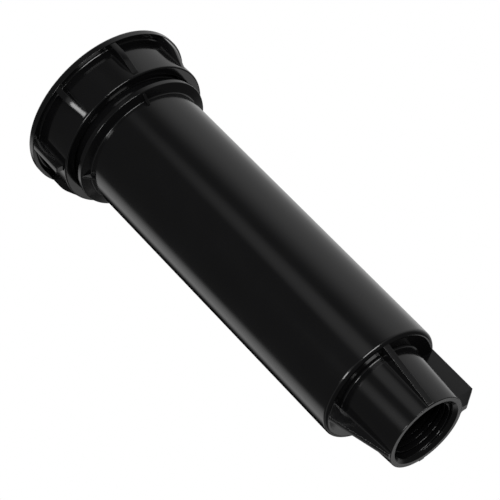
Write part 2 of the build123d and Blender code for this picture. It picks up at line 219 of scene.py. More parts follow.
# Case: one deep injection moulding in black plastic. Below its floor hang a tapped inlet
# boss, three tapered gussets and a square fin; above are a collar on four brackets and a
# neck with a coarse thread, and four long ribs inside keep the ratchet from turning.
mm = 0.001
around_steps = 224
real_edge_deg = 32.0


def rounded(corners, step_deg=12.0, support=0.12):
    """Closed outline from (r, z) or (r, z, radius) corners, in millimetres."""
    outline = []
    count = len(corners)
    for index, corner in enumerate(corners):
        here = Vector(corner[:2])
        before = Vector(corners[index - 1][:2]) - here
        after = Vector(corners[(index + 1) % count][:2]) - here
        radius = corner[2] if len(corner) > 2 else 0.0
        if radius == 0.0:
            outline.append(here)
            continue
        a, b = before.normalized(), after.normalized()
        half = a.angle(b) / 2
        reach = radius / math.tan(half)
        centre = here + (a + b).normalized() * (radius / math.sin(half))
        start, end = here + a * reach, here + b * reach
        sweep = (start - centre).angle_signed(end - centre)
        steps = max(2, round(abs(math.degrees(sweep)) / step_deg))
        if before.length > reach + 3 * support:
            outline.append(start + a * support)
        for k in range(steps + 1):
            arm = start - centre
            arm.rotate(Matrix.Rotation(-sweep * k / steps, 2))
            outline.append(centre + arm)
        if after.length > reach + 3 * support:
            outline.append(end + b * support)
    return outline


def piece_from(name, vertices, faces):
    """Object at the origin from millimetre points, smooth except at its real edges."""
    mesh = bpy.data.meshes.new(name)
    mesh.from_pydata([tuple(c * mm for c in v) for v in vertices], [], faces)
    welded = bmesh.new()
    welded.from_mesh(mesh)
    bmesh.ops.remove_doubles(welded, verts=welded.verts, dist=1e-7)
    bmesh.ops.recalc_face_normals(welded, faces=welded.faces)
    welded.to_mesh(mesh)
    welded.free()
    mesh.shade_smooth()
    mesh.set_sharp_from_angle(angle=math.radians(real_edge_deg))
    obj = bpy.data.objects.new(name, mesh)
    bpy.context.collection.objects.link(obj)
    return obj


def lathe(name, corners, steps=around_steps):
    """Solid of revolution about the riser's axis."""
    outline = rounded(corners)
    vertices, faces = [], []
    for i in range(steps):
        turn = 2 * math.pi * i / steps
        vertices += [(r * math.cos(turn), r * math.sin(turn), z) for r, z in outline]
    size = len(outline)
    for i in range(steps):
        here, there = i * size, (i + 1) % steps * size
        for k in range(size):
            n = (k + 1) % size
            faces.append((here + k, there + k, there + n, here + n))
    return piece_from(name, vertices, faces)


def rib_outline(half, root_r, tip_r, root_fillet, edge_round):
    """One side of a rib's level section, as (across, outward) points from root to tip."""
    least_height, sunk = 0.04, 0.35
    height = max(tip_r - root_r, least_height)
    root_fillet, edge_round = min(root_fillet, 0.5 * height), min(edge_round, 0.4 * height)
    points = [(half + root_fillet * 1.5, root_r - sunk)]
    for k in range(6):
        t = math.radians(18 * k)
        points.append((
            half + root_fillet * (1 - math.sin(t)), root_r + root_fillet * (1 - math.cos(t)),
        ))
    for k in range(5):
        t = math.radians(22.5 * k)
        points.append((
            half - edge_round * (1 - math.cos(t)),
            root_r + height - edge_round * (1 - math.sin(t)),
        ))
    return points


def upright_rib(name, thick, stations, root_fillet, edge_round):
    """Rib on the +X side, lofted up (z, root radius, tip radius) stations."""
    vertices, faces = [], []
    size = 0
    for z, root_r, tip_r in stations:
        side = rib_outline(thick / 2, root_r, tip_r, root_fillet, edge_round)
        loop = side + [(-u, r) for u, r in reversed(side)]
        size = len(loop)
        vertices += [(r, u, z) for u, r in loop]
    for i in range(len(stations) - 1):
        for k in range(size):
            n = (k + 1) % size
            faces.append((i * size + k, i * size + n, (i + 1) * size + n, (i + 1) * size + k))
    faces.append(tuple(reversed(range(size))))
    faces.append(tuple((len(stations) - 1) * size + k for k in range(size)))
    return piece_from(name, vertices, faces)


def new_tree(name, sockets):
    """Empty Geometry Nodes tree with named inputs, given as (name, kind) pairs."""
    tree = bpy.data.node_groups.new(name, "GeometryNodeTree")
    for label, kind in sockets:
        tree.interface.new_socket(label, in_out="INPUT", socket_type="NodeSocket" + kind)
    tree.interface.new_socket("Mesh", in_out="OUTPUT", socket_type="NodeSocketGeometry")
    return tree, tree.nodes.new("NodeGroupInput").outputs, tree.nodes.new("NodeGroupOutput")


def put(tree, kind, settings=None, **inputs):
    """Node with its settings, and its inputs by name or as _number, from sockets or values."""
    node = tree.nodes.new(kind)
    for key, value in (settings or {}).items():
        setattr(node, key, value)
    for key, value in inputs.items():
        if key[1:].isdigit():
            socket = node.inputs[int(key[1:])]
        else:
            socket = node.inputs[key.replace("_", " ")]
        if isinstance(value, bpy.types.NodeSocket):
            tree.links.new(value, socket)
        else:
            socket.default_value = value
    return node


def calc(tree, operation, a, b=0.0):
    """Result of a math node on two sockets or numbers."""
    return put(tree, "ShaderNodeMath", {"operation": operation}, _0=a, _1=b).outputs[0]


def finish_tree(tree, outlet_node, geometry, material):
    """Last two nodes of each tree: make the copies real and give them their material."""
    real = put(tree, "GeometryNodeRealizeInstances", Geometry=geometry).outputs["Geometry"]
    painted = put(tree, "GeometryNodeSetMaterial", Geometry=real, Material=material)
    tree.links.new(painted.outputs["Geometry"], outlet_node.inputs["Mesh"])


def grown(name, tree, values, source=None, smooth_deg=real_edge_deg):
    """Plain mesh object that a tree makes from its input values and an optional source."""
    carrier = source or bpy.data.objects.new(name, bpy.data.meshes.new(name))
    if source is None:
        bpy.context.collection.objects.link(carrier)
    modifier = carrier.modifiers.new("shape", "NODES")
    modifier.node_group = tree
    for socket in tree.interface.items_tree:
        if socket.in_out == "INPUT" and socket.name in values:
            modifier[socket.identifier] = values[socket.name]
    bpy.context.view_layer.update()
    shape = carrier.evaluated_get(bpy.context.evaluated_depsgraph_get())
    mesh = bpy.data.meshes.new_from_object(shape)
    bpy.data.objects.remove(carrier)
    mesh.name = name
    mesh.shade_smooth()
    mesh.set_sharp_from_angle(angle=math.radians(smooth_deg))
    obj = bpy.data.objects.new(name, mesh)
    bpy.context.collection.objects.link(obj)
    return obj


ring_tree, ring_in, ring_out = new_tree("copies_around_the_axis", (
    ("Piece", "Geometry"), ("Count", "Int"), ("First turn", "Float"), ("Step turn", "Float"),
    ("Material", "Material"),
))
ring_points = put(
    ring_tree, "GeometryNodeMeshLine", Count=ring_in["Count"], Offset=(0.0, 0.0, 0.0),
).outputs["Mesh"]
ring_index = put(ring_tree, "GeometryNodeInputIndex").outputs[0]
ring_turn = calc(
    ring_tree, "ADD", calc(ring_tree, "MULTIPLY", ring_index, ring_in["Step turn"]),
    ring_in["First turn"],
)
ring_rotation = put(ring_tree, "ShaderNodeCombineXYZ", Z=ring_turn).outputs[0]
ring_copies = put(
    ring_tree, "GeometryNodeInstanceOnPoints", Points=ring_points, Instance=ring_in["Piece"],
    Rotation=ring_rotation,
).outputs["Instances"]
finish_tree(ring_tree, ring_out, ring_copies, ring_in["Material"])

thread_tree, thread_in, thread_out = new_tree("screw_thread", (
    ("Wall radius", "Float"), ("Far wall radius", "Float"), ("Height", "Float"),
    ("Pitch", "Float"), ("Turns", "Float"), ("Foot", "Float"), ("First turn", "Float"),
    ("Root width", "Float"), ("Crest width", "Float"), ("Sink", "Float"),
    ("Material", "Material"),
))
thread_middle = calc(thread_tree, "MULTIPLY", thread_in["Height"], 0.5)
thread_helix = put(
    thread_tree, "GeometryNodeCurveSpiral", Resolution=96, Rotations=thread_in["Turns"],
    Start_Radius=calc(thread_tree, "ADD", thread_in["Wall radius"], thread_middle),
    End_Radius=calc(thread_tree, "ADD", thread_in["Far wall radius"], thread_middle),
    Height=calc(thread_tree, "MULTIPLY", thread_in["Pitch"], thread_in["Turns"]),
).outputs["Curve"]
thread_along = put(thread_tree, "GeometryNodeSplineParameter").outputs["Factor"]
thread_marked = put(
    thread_tree, "GeometryNodeStoreNamedAttribute", {"data_type": "FLOAT", "domain": "POINT"},
    Geometry=thread_helix, Name="along", Value=thread_along,
).outputs["Geometry"]
thread_level = put(
    thread_tree, "GeometryNodeSetCurveNormal", {"mode": "Z_UP"}, Curve=thread_marked,
).outputs["Curve"]
thread_section = put(
    thread_tree, "GeometryNodeCurvePrimitiveQuadrilateral", {"mode": "TRAPEZOID"},
    Bottom_Width=thread_in["Root width"], Top_Width=thread_in["Crest width"],
    Height=calc(
        thread_tree, "ADD", calc(thread_tree, "ABSOLUTE", thread_in["Height"]), thread_in["Sink"],
    ),
    Offset=0.0,
).outputs["Curve"]
thread_eased = put(
    thread_tree, "GeometryNodeFilletCurve", {"mode": "POLY"}, Curve=thread_section, Count=3,
    Radius=calc(thread_tree, "MULTIPLY", thread_in["Crest width"], 0.45),
).outputs["Curve"]
thread_side = calc(thread_tree, "SIGN", thread_in["Height"])
thread_quarter = calc(thread_tree, "MULTIPLY", thread_side, -math.pi / 2)
thread_turned = put(
    thread_tree, "GeometryNodeTransform", Geometry=thread_eased,
    Rotation=put(thread_tree, "ShaderNodeCombineXYZ", Z=thread_quarter).outputs[0],
).outputs["Geometry"]
thread_solid = put(
    thread_tree, "GeometryNodeCurveToMesh", Curve=thread_level, Profile_Curve=thread_turned,
    Fill_Caps=True,
).outputs["Mesh"]
thread_read = put(
    thread_tree, "GeometryNodeInputNamedAttribute", {"data_type": "FLOAT"}, Name="along",
).outputs["Attribute"]
thread_end = calc(thread_tree, "MINIMUM", thread_read, calc(thread_tree, "SUBTRACT", 1.0, thread_read))
thread_runout = put(
    thread_tree, "ShaderNodeMapRange", {"interpolation_type": "SMOOTHSTEP"},
    Value=calc(thread_tree, "MULTIPLY", thread_end, thread_in["Turns"]),
    _2=0.22, _3=1.0, _4=0.0,
).outputs["Result"]
thread_place = put(thread_tree, "GeometryNodeInputPosition").outputs[0]
thread_outward = put(
    thread_tree, "ShaderNodeVectorMath", {"operation": "NORMALIZE"},
    _0=put(
        thread_tree, "ShaderNodeVectorMath", {"operation": "MULTIPLY"},
        _0=thread_place, _1=(1.0, 1.0, 0.0),
    ).outputs[0],
).outputs[0]
thread_sunk = calc(
    thread_tree, "MULTIPLY", calc(thread_tree, "MULTIPLY", thread_runout, thread_in["Height"]), -1.15,
)
thread_shift = put(
    thread_tree, "ShaderNodeVectorMath", {"operation": "SCALE"}, _0=thread_outward,
    Scale=thread_sunk,
).outputs[0]
thread_faded = put(
    thread_tree, "GeometryNodeSetPosition", Geometry=thread_solid, Offset=thread_shift,
).outputs["Geometry"]
thread_placed = put(
    thread_tree, "GeometryNodeTransform", Geometry=thread_faded,
    Translation=put(thread_tree, "ShaderNodeCombineXYZ", Z=thread_in["Foot"]).outputs[0],
    Rotation=put(thread_tree, "ShaderNodeCombineXYZ", Z=thread_in["First turn"]).outputs[0],
).outputs["Geometry"]
finish_tree(thread_tree, thread_out, thread_placed, thread_in["Material"])


def fused(name, *objects):
    """One plain object from several that overlap, as a moulding has them."""
    vertices, faces = [], []
    for obj in objects:
        base = len(vertices)
        vertices += [tuple(c / mm for c in v.co) for v in obj.data.vertices]
        faces += [tuple(base + k for k in polygon.vertices) for polygon in obj.data.polygons]
        bpy.data.objects.remove(obj)
    return piece_from(name, vertices, faces)


def moulded_plastic(name, colour, roughness, peel=0.10, flow=0.30, glow_through=0.0):
    """Injection-moulded plastic: fine orange peel, flow lines up the part and faint scuffs."""
    material = bpy.data.materials.new(name)
    material.use_nodes = True
    tree = material.node_tree
    shader = tree.nodes["Principled BSDF"]
    shader.inputs["IOR"].default_value = 1.5
    shader.inputs["Subsurface Weight"].default_value = glow_through
    shader.inputs["Subsurface Scale"].default_value = 0.002
    peel_depth, flow_depth = 0.00004, 0.00002
    place = put(tree, "ShaderNodeTexCoord").outputs["Object"]
    drawn_up = put(tree, "ShaderNodeMapping", Vector=place, Scale=(1.0, 1.0, 0.05)).outputs["Vector"]

    def noise(vector, scale, detail):
        return put(tree, "ShaderNodeTexNoise", Vector=vector, Scale=scale, Detail=detail).outputs["Fac"]

    clouds = noise(place, 70.0, 5.0)
    streaks = noise(drawn_up, 520.0, 4.0)
    grain = noise(place, 2600.0, 3.0)
    scuffs = put(
        tree, "ShaderNodeMapRange", Value=noise(drawn_up, 1900.0, 2.0), _1=0.62, _2=0.78,
    ).outputs["Result"]
    tone = put(
        tree, "ShaderNodeMix", {"data_type": "RGBA"}, Factor=clouds,
        _6=(*(c * 0.82 for c in colour), 1.0), _7=(*(min(1.0, c * 1.2) for c in colour), 1.0),
    )
    tree.links.new(tone.outputs[2], shader.inputs["Base Color"])
    dull = put(
        tree, "ShaderNodeMapRange", Value=clouds, _1=0.3, _2=0.7,
        _3=roughness * 0.85, _4=roughness * 1.2,
    ).outputs["Result"]
    scuffed = calc(tree, "ADD", dull, calc(tree, "MULTIPLY", scuffs, 0.05))
    tree.links.new(scuffed, shader.inputs["Roughness"])
    fine = put(
        tree, "ShaderNodeBump", Strength=peel, Distance=peel_depth, Height=grain,
    ).outputs["Normal"]
    broad = put(
        tree, "ShaderNodeBump", Strength=flow, Distance=flow_depth, Height=streaks, Normal=fine,
    ).outputs["Normal"]
    tree.links.new(broad, shader.inputs["Normal"])
    return material


case_plastic = moulded_plastic("case_plastic", (0.005, 0.005, 0.0053), 0.13)
inlet_r, mouth_r, boss_root_r = 10.6, 13.1, 14.3
mouth_chamfer, mouth_depth = 1.0, 1.1
case_r, case_bore_r, floor_z_under, floor_z_top = 20.0, 18.0, 19.8, 22.0
floor_rise = 0.7
collar_r, collar_z, collar_top = 23.2, 133.0, 134.8
neck_r, neck_bore_r, neck_top = 21.4, 19.2, 147.0
case_shell = lathe("case_shell", [
    (inlet_r + mouth_chamfer, 0.0, 0.15),
    (mouth_r, 0.0, 0.2),
    (boss_root_r, floor_z_under + floor_rise, 0.6),
    (case_r, floor_z_under, 1.3),
    (case_r, collar_z - 0.9, 0.5),
    (collar_r, collar_z, 0.3),
    (collar_r, collar_top, 0.4),
    (neck_r, collar_top, 0.4),
    (neck_r, neck_top, 0.5),
    (neck_bore_r, neck_top, 0.3),
    (neck_bore_r, collar_top + 1.2, 0.5),
    (case_bore_r, collar_z, 0.5),
    (case_bore_r, floor_z_top, 1.0),
    (11.4, floor_z_top, 0.3),
    (11.0, 23.0, 0.2),
    (9.2, 23.0, 0.2),
    (9.2, 16.8, 0.3),
    (inlet_r, 15.4, 0.3),
    (inlet_r, mouth_depth, 0.2),
])


def boss_r(z):
    """Outside radius of the inlet boss, which widens upwards with the mould's draft."""
    return mouth_r + (boss_root_r - mouth_r) * z / floor_z_under


gusset_thick, gusset_foot_r, gusset_top_r = 1.9, 13.8, 19.0
gusset_foot_z, gusset_height = 0.4, 19.6
gusset = upright_rib("gusset", gusset_thick, [
    (z, boss_r(z), gusset_foot_r + (gusset_top_r - gusset_foot_r) * (z - gusset_foot_z) / gusset_height)
    for z in (0.2, 0.4, 1.2, 3.0, 5.0, 8.0, 11.0, 14.0, 17.0, 19.0, 21.2)
], root_fillet=0.35, edge_round=0.12)
fin_thick, fin_heel_r, fin_shoulder = 2.0, 15.0, 3.4
fin_slope = (case_r - 0.05 - fin_heel_r) / fin_shoulder
fin = upright_rib("fin", fin_thick, [
    (z, boss_r(z), min(case_r - 0.05, fin_heel_r + fin_slope * z))
    for z in (0.05, 0.4, 1.2, 2.4, 3.2, 3.4, 3.7, 5.0, 9.0, 13.0, 17.0, 19.5, 21.3)
], root_fillet=0.5, edge_round=0.25)
bracket_thick, bracket_drop, bracket_r = 0.8, 3.0, collar_r - 0.4
bracket = upright_rib("bracket", bracket_thick, [
    (collar_z - bracket_drop + rise, 19.6,
     min(bracket_r, case_r + 0.2 + (bracket_r - case_r - 0.2) * rise / (bracket_drop - 0.2)))
    for rise in (0.0, 0.5, 1.0, 1.6, 2.2, 2.8, 3.6)
], root_fillet=0.1, edge_round=0.1)
guide_r, guide_width, guide_top = 16.6, 1.6, 141.0
guide = piece_from("guide", [
    (r, u, z)
    for z, inner in ((floor_z_top - 0.3, guide_r), (guide_top - 2.0, guide_r), (guide_top, guide_r + 0.8))
    for r, u in (
        (inner, -guide_width / 2), (neck_bore_r + 0.3, -guide_width / 2),
        (neck_bore_r + 0.3, guide_width / 2), (inner, guide_width / 2),
    )
], [(0, 3, 2, 1), (8, 9, 10, 11)] + [
    (level + k, level + (k + 1) % 4, level + 4 + (k + 1) % 4, level + 4 + k)
    for level in (0, 4) for k in range(4)
])
quarter = math.pi / 2
case_webs = [
    grown(name, ring_tree, {
        "Count": count, "First turn": first, "Step turn": quarter, "Material": case_plastic,
    }, source=piece)
    for name, piece, count, first in (
        ("gussets", gusset, 3, quarter), ("brackets", bracket, 4, 0.0), ("guides", guide, 4, quarter / 2),
    )
]
pipe_pitch = 25.4 / 14
inlet_thread = grown("inlet_thread", thread_tree, {
    "Wall radius": inlet_r * mm, "Far wall radius": (inlet_r - 0.35) * mm, "Height": -1.0 * mm,
    "Pitch": pipe_pitch * mm, "Turns": 7.0, "Foot": 1.5 * mm, "First turn": 2.4,
    "Root width": 1.6 * mm, "Crest width": 0.4 * mm, "Sink": 0.2 * mm, "Material": case_plastic,
})
cap_lead = 3.6
neck_thread = grown("neck_thread", thread_tree, {
    "Wall radius": neck_r * mm, "Far wall radius": neck_r * mm, "Height": 0.75 * mm,
    "Pitch": cap_lead * mm, "Turns": 2.2, "Foot": 137.2 * mm, "First turn": 0.0,
    "Root width": 1.5 * mm, "Crest width": 0.6 * mm, "Sink": 0.2 * mm, "Material": case_plastic,
})
case_piece = fused("case_moulding", case_shell, fin, *case_webs, inlet_thread, neck_thread)
case_piece.data.materials.append(case_plastic)
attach(case_piece, "case")
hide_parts("case")


# Cap: a black moulding that screws down on the neck and clamps the seal. Its flange lies
# flush with the ground, its rim turns down, and eight ribs on the skirt give a grip, one
# of them full depth to its foot.
cap_plastic = moulded_plastic("cap_plastic", (0.005, 0.005, 0.0053), 0.13)
flange_r, flange_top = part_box("cap")[1].x / mm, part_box("cap")[1].z / mm
opening_r, skirt_bore_r = 12.1, 22.6
skirt_top_r, skirt_foot_r, skirt_foot = 25.4, 25.7, 137.5
plate_z, rim_z, dish_z = flange_top - 1.2, flange_top - 2.3, flange_top - 0.35
cap_shell = lathe("cap_shell", [
    (opening_r, flange_top - 2.4),
    (skirt_bore_r, flange_top - 2.4, 0.8),
    (skirt_bore_r, skirt_foot, 0.4),
    (skirt_foot_r, skirt_foot, 0.5),
    (skirt_top_r, plate_z, 1.0),
    (flange_r - 1.3, plate_z, 0.3),
    (flange_r - 1.3, rim_z, 0.15),
    (flange_r, rim_z, 0.12),
    (flange_r, flange_top, 0.7),
    (flange_r - 2.4, flange_top, 0.6),
    (flange_r - 3.2, dish_z, 0.6),
    (opening_r + 2.6, dish_z, 0.5),
    (opening_r + 2.0, flange_top, 0.4),
    (opening_r, flange_top, 0.4),
])
rib_r, rib_foot = flange_r - 0.2, skirt_foot + 0.9


def skirt_r(z):
    """Outside radius of the tapered skirt."""
    return skirt_foot_r + (skirt_top_r - skirt_foot_r) * (z - skirt_foot) / (plate_z - skirt_foot)


def slanted_tip(z):
    """Outer edge of a common rib: level under the rim, then bending in to the skirt's foot."""
    bend_top, bend_middle, bend_foot = 147.1, 145.2, 143.3
    slope = (rib_r - skirt_foot_r) / (bend_middle - rib_foot)
    if z > bend_top:
        return rib_r
    if z > bend_foot:
        return rib_r - slope * (bend_top - z) ** 2 / (2 * (bend_top - bend_foot))
    return rib_r - slope * (bend_middle - z)


def cap_rib(name, tip):
    """Grip rib with a chosen outer edge."""
    thick = 2.0
    levels = [rib_foot, rib_foot + 0.15, rib_foot + 0.6]
    levels += [rib_foot + 1.4 + 0.9 * k for k in range(12)] + [plate_z + 0.2]
    stations = [(z, skirt_r(z), tip(z)) for z in levels]
    return upright_rib(name, thick, stations, root_fillet=0.5, edge_round=0.18)


def deep_tip(z):
    """Outer edge of the deep rib, which is level all the way down."""
    return rib_r - 0.25 if z == rib_foot else rib_r


eighth = math.pi / 4
rib_turn = math.radians(3.0)
common_ribs = [
    grown(name, ring_tree, {
        "Count": count, "First turn": rib_turn + first * eighth, "Step turn": eighth,
        "Material": cap_plastic,
    }, source=cap_rib(name, slanted_tip))
    for name, count, first in (("ribs_before", 4, 0), ("ribs_after", 3, 5))
]
deep_rib = grown("deep_rib", ring_tree, {
    "Count": 1, "First turn": rib_turn + 4 * eighth, "Step turn": 0.0, "Material": cap_plastic,
}, source=cap_rib("deep_rib", deep_tip))
cap_thread = grown("cap_thread", thread_tree, {
    "Wall radius": skirt_bore_r * mm, "Far wall radius": skirt_bore_r * mm, "Height": -0.7 * mm,
    "Pitch": cap_lead * mm, "Turns": 2.2, "Foot": 139.0 * mm, "First turn": 0.0,
    "Root width": 1.5 * mm, "Crest width": 0.6 * mm, "Sink": 0.2 * mm, "Material": cap_plastic,
})
cap_piece = fused("cap_moulding", cap_shell, *common_ribs, deep_rib, cap_thread)
cap_piece.data.materials.append(cap_plastic)
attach(cap_piece, "cap")
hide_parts("cap")


# Wiper seal: soft black elastomer, moulded in one with a flange that the cap clamps, a
# beaded rim that shows round the nozzle and a thin lip that wipes the riser.
seal_rubber = moulded_plastic("seal_rubber", (0.017, 0.017, 0.018), 0.55, peel=0.45, flow=0.1)
riser_r = 8.0
seal_flange_r, seal_z, seal_top = neck_r - 0.5, 148.3, 150.4
seal_rim_top, cup_r, lip_r, lip_z = flange_top - 0.2, riser_r + 0.5, riser_r + 0.1, 141.7
seal_piece = lathe("seal", [
    (seal_flange_r, seal_z, 0.2),
    (seal_flange_r, seal_top, 0.2),
    (opening_r - 0.3, seal_top, 0.2),
    (opening_r - 0.3, seal_rim_top, 0.4),
    (opening_r - 1.4, seal_rim_top, 0.3),
    (opening_r - 1.8, seal_rim_top - 0.35, 0.2),
    (cup_r + 1.1, seal_rim_top - 0.35, 0.2),
    (cup_r + 0.7, seal_rim_top, 0.3),
    (cup_r, seal_rim_top, 0.4),
    (cup_r, lip_z + 2.5, 0.5),
    (lip_r, lip_z + 0.9, 0.3),
    (lip_r, lip_z, 0.1),
    (lip_r + 0.9, lip_z - 0.6, 0.3),
    (11.2, lip_z + 1.9, 0.5),
    (11.2, seal_z, 0.2),
])
seal_piece.data.materials.append(seal_rubber)
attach(seal_piece, "seal_stack")
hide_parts("wiper_seal")


# Spring seat: a natural acetal ring that hangs in the neck under the seal and takes the
# spring's thrust, so that the soft seal isn't cut by the wire.
acetal = moulded_plastic("acetal", (0.70, 0.68, 0.62), 0.38, peel=0.2, flow=0.2, glow_through=0.15)


def paint_cad(node, material):
    """Gives a CAD piece the material of its slot, all over."""
    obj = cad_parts[node]
    obj.data.materials.clear()
    obj.data.materials.append(material)
    for polygon in obj.data.polygons:
        polygon.material_index = 0


paint_cad("spring_seat_ring", acetal)


# Retraction spring: drawn stainless wire, coiled open with a closed coil at each end. It
# stands on the ratchet ring and pushes up on the seat ring.
def drawn_steel(name, colour, roughness, drawn):
    """Bright stainless steel with fine lines, set by a stretch along each axis."""
    material = bpy.data.materials.new(name)
    material.use_nodes = True
    tree = material.node_tree
    shader = tree.nodes["Principled BSDF"]
    shader.inputs["Metallic"].default_value = 1.0
    line_depth = 0.00002
    place = put(tree, "ShaderNodeTexCoord").outputs["Object"]
    lines = put(
        tree, "ShaderNodeTexNoise", Scale=2400.0, Detail=4.0,
        Vector=put(tree, "ShaderNodeMapping", Vector=place, Scale=drawn).outputs["Vector"],
    ).outputs["Fac"]
    stains = put(tree, "ShaderNodeTexNoise", Vector=place, Scale=160.0, Detail=4.0).outputs["Fac"]
    tone = put(
        tree, "ShaderNodeMix", {"data_type": "RGBA"}, Factor=stains,
        _6=(*(c * 0.85 for c in colour), 1.0), _7=(*colour, 1.0),
    )
    tree.links.new(tone.outputs[2], shader.inputs["Base Color"])
    dull = put(
        tree, "ShaderNodeMapRange", Value=lines, _1=0.3, _2=0.7,
        _3=roughness * 0.8, _4=roughness * 1.3,
    ).outputs["Result"]
    tree.links.new(dull, shader.inputs["Roughness"])
    scratched = put(tree, "ShaderNodeBump", Strength=0.25, Distance=line_depth, Height=lines)
    tree.links.new(scratched.outputs["Normal"], shader.inputs["Normal"])
    return material


spring_steel = drawn_steel("spring_steel", (0.60, 0.60, 0.61), 0.22, (1.0, 1.0, 0.3))
spring_low, spring_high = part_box("retraction_spring")[0].z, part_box("retraction_spring")[1].z
spring_tree, spring_in, spring_out = new_tree("closed_end_spring", (
    ("Coil radius", "Float"), ("Wire radius", "Float"), ("Coils", "Float"), ("Foot", "Float"),
    ("Top", "Float"), ("Material", "Material"),
))
spring_wire = calc(spring_tree, "MULTIPLY", spring_in["Wire radius"], 2.0)
spring_helix = put(
    spring_tree, "GeometryNodeCurveSpiral", Resolution=40, Rotations=spring_in["Coils"],
    Start_Radius=spring_in["Coil radius"], End_Radius=spring_in["Coil radius"], Height=0.0,
).outputs["Curve"]
spring_turn = calc(
    spring_tree, "MULTIPLY", put(spring_tree, "GeometryNodeSplineParameter").outputs["Factor"],
    spring_in["Coils"],
)
spring_last = calc(spring_tree, "SUBTRACT", spring_in["Coils"], 1.0)
spring_closed = calc(
    spring_tree, "MULTIPLY", spring_wire,
    calc(
        spring_tree, "ADD", calc(spring_tree, "MINIMUM", spring_turn, 1.0),
        calc(spring_tree, "MAXIMUM", calc(spring_tree, "SUBTRACT", spring_turn, spring_last), 0.0),
    ),
)
spring_span = calc(
    spring_tree, "SUBTRACT", calc(spring_tree, "SUBTRACT", spring_in["Top"], spring_in["Foot"]),
    calc(spring_tree, "MULTIPLY", spring_wire, 3.0),
)
spring_open = put(
    spring_tree, "ShaderNodeMapRange", {"clamp": True}, Value=spring_turn, _1=1.0,
    _2=spring_last, _3=0.0, _4=spring_span,
).outputs["Result"]
spring_z = calc(
    spring_tree, "ADD", calc(spring_tree, "ADD", spring_closed, spring_open),
    calc(spring_tree, "ADD", spring_in["Foot"], spring_in["Wire radius"]),
)
spring_raised = put(
    spring_tree, "GeometryNodeSetPosition", Geometry=spring_helix,
    Offset=put(spring_tree, "ShaderNodeCombineXYZ", Z=spring_z).outputs[0],
).outputs["Geometry"]
spring_section = put(
    spring_tree, "GeometryNodeCurvePrimitiveCircle", Resolution=10, Radius=spring_in["Wire radius"],
).outputs["Curve"]
spring_body = put(
    spring_tree, "GeometryNodeCurveToMesh", Curve=spring_raised, Profile_Curve=spring_section,
    Fill_Caps=True,
).outputs["Mesh"]
finish_tree(spring_tree, spring_out, spring_body, spring_in["Material"])
coil_r, spring_wire_r, coil_count = 13.2, 0.5, 13.0
spring_piece = grown("spring", spring_tree, {
    "Coil radius": coil_r * mm, "Wire radius": spring_wire_r * mm, "Coils": coil_count,
    "Foot": spring_low, "Top": spring_high, "Material": spring_steel,
}, smooth_deg=60.0)
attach(spring_piece, "seal_stack")
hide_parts("retraction_spring")
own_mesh(spring_piece)


# Ratchet and riser: the toothed foot is welded on the riser tube, and the keyed acetal
# ring above it slides on the case's ribs, so the riser clicks round but holds its aim.
riser_plastic = moulded_plastic("riser_plastic", (0.011, 0.011, 0.012), 0.24, flow=0.5)
paint_cad("ratchet_ring", acetal)
paint_cad("riser_stem", riser_plastic)
paint_cad("riser_foot", riser_plastic)


# Check valve: a rubber washer that a flanged plug holds in the riser's foot. It closes
# on the case's raised seat when the water is off.
paint_cad("check_seal", seal_rubber)
paint_cad("check_retainer", riser_plastic)


# Filter: a natural nylon basket that hangs in the top of the riser, with a sleeve of
# plain-woven stainless screen inside its bars.
nylon = moulded_plastic("nylon", (0.60, 0.59, 0.55), 0.42, peel=0.3, flow=0.2, glow_through=0.2)
screen_steel = drawn_steel("screen_steel", (0.52, 0.52, 0.53), 0.30, (1.0, 1.0, 1.0))
paint_cad("filter_frame", nylon)
weave_tree, weave_in, weave_out = new_tree("woven_screen", (
    ("Radius", "Float"), ("Foot", "Float"), ("Pitch", "Float"), ("Rows", "Int"),
    ("Columns", "Int"), ("Wire radius", "Float"), ("Material", "Material"),
))
weave_index = put(weave_tree, "GeometryNodeInputIndex").outputs[0]
weave_odd = calc(weave_tree, "MODULO", weave_index, 2.0)
weave_sway = calc(
    weave_tree, "MULTIPLY", weave_in["Wire radius"],
    calc(weave_tree, "SUBTRACT", 1.0, calc(weave_tree, "MULTIPLY", weave_odd, 2.0)),
)
column_step = calc(weave_tree, "DIVIDE", 2 * math.pi, weave_in["Columns"])
weave_section = put(
    weave_tree, "GeometryNodeCurvePrimitiveCircle", Resolution=4, Radius=weave_in["Wire radius"],
).outputs["Curve"]


def wire_of(mesh_socket):
    """Round wire along a line of points."""
    curve = put(weave_tree, "GeometryNodeMeshToCurve", Mesh=mesh_socket).outputs["Curve"]
    return put(
        weave_tree, "GeometryNodeCurveToMesh", Curve=curve, Profile_Curve=weave_section,
        Fill_Caps=True,
    ).outputs["Mesh"]


def spread(count, piece, location, rotation):
    """Copies of a wire, each at its own place and turn."""
    points = put(
        weave_tree, "GeometryNodeMeshLine", Count=count, Offset=(0.0, 0.0, 0.0),
    ).outputs["Mesh"]
    placed = put(weave_tree, "GeometryNodeSetPosition", Geometry=points, Offset=location)
    return put(
        weave_tree, "GeometryNodeInstanceOnPoints", Points=placed.outputs["Geometry"],
        Instance=piece, Rotation=rotation,
    ).outputs["Instances"]


def z_only(value):
    """Vector that has a value in Z alone."""
    return put(weave_tree, "ShaderNodeCombineXYZ", Z=value).outputs[0]


